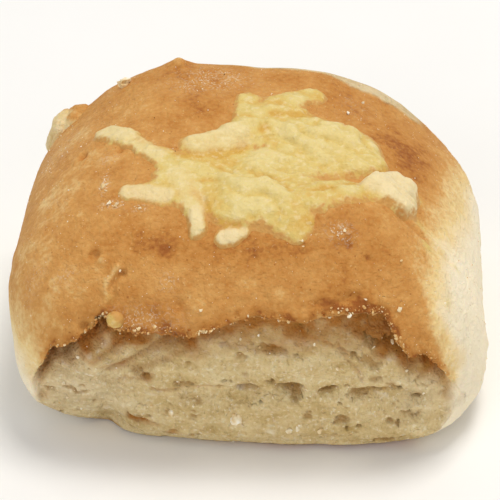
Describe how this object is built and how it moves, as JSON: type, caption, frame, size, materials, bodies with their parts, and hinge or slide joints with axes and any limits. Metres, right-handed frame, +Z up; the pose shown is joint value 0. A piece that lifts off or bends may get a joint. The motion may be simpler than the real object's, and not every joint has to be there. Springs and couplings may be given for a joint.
{
  "type": "cheese scone",
  "caption": "Square-shouldered pull-apart bread scone with a torn crumb front under a ragged crust lip and cheese melted onto its domed top.",
  "frame": {"origin": "on the surface the scone rests on, under the middle of its box", "axes": "+X along the longest side, from the baked left side to the pale right side; -Y is the torn front; +Z up, the shortest extent"},
  "size_m": [0.0818, 0.0754, 0.0438],
  "materials": {
    "bread": "matte",
    "cheese": "satin"
  },
  "bodies": {
    "root": {"scone_bread": "bread", "melted_cheese": "cheese"}
  },
  "joints": []
}
